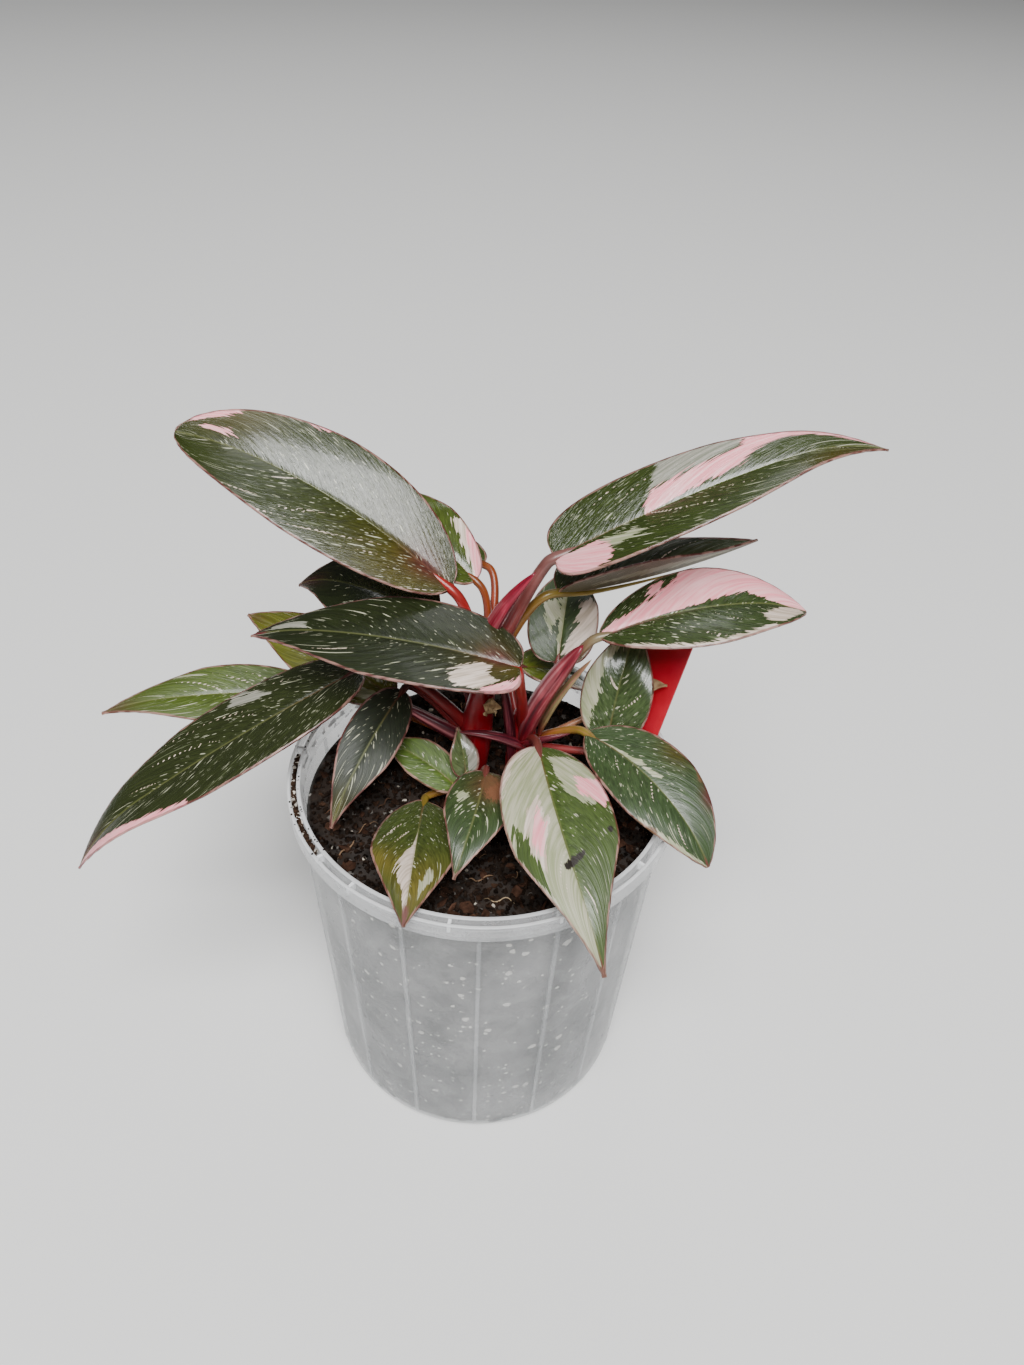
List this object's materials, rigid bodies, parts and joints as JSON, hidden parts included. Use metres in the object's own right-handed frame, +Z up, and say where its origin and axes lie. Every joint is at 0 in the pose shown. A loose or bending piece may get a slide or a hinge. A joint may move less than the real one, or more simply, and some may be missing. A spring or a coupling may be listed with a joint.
{
  "type": "pink princess philodendron in a clear nursery pot",
  "caption": "Potted climbing aroid with long pointed dark green leaves splashed pink and cream, on red stalks, in a round clear plastic nursery pot.",
  "frame": {"origin": "centre of the pot's flat base, on the surface that it stands on", "axes": "+Z up along the pot's axis, -Y towards the picture's camera, +X to that camera's right"},
  "size_m": [0.2293, 0.1478, 0.2276],
  "materials": {
    "clear_plastic": "cloudy clear, smooth",
    "soil": "rough, loose",
    "red_plastic": "satin",
    "red_stem": "smooth, glossy",
    "green_blade": "glossy leaf",
    "yellow_blade": "satin leaf",
    "pink_blade": "glossy leaf",
    "pale_blade": "satin leaf",
    "dry_blade": "dry, matte"
  },
  "bodies": {
    "root": {"pot": "clear_plastic", "soil": "soil", "label": "red_plastic", "shoot_left": "red_stem", "shoot_right": "red_stem", "shoot_front": "red_stem", "leaf_top_left": "green_blade", "leaf_top_right": "green_blade", "leaf_folded_right": "green_blade", "leaf_top_back": "green_blade", "leaf_far_back": "green_blade", "leaf_dark_left": "green_blade", "leaf_long_left": "green_blade", "leaf_low_left": "yellow_blade", "leaf_yellow_left": "yellow_blade", "leaf_inner_left": "green_blade", "leaf_mid_left": "green_blade", "leaf_pink_right": "pink_blade", "leaf_back_right": "pale_blade", "leaf_low_back": "green_blade", "leaf_side_right": "green_blade", "leaf_low_right": "green_blade", "leaf_front": "pale_blade", "leaf_dry": "dry_blade", "leaf_small_mid": "green_blade", "leaf_small_front": "green_blade", "leaf_bright": "yellow_blade", "leaf_bud": "green_blade"}
  },
  "joints": []
}
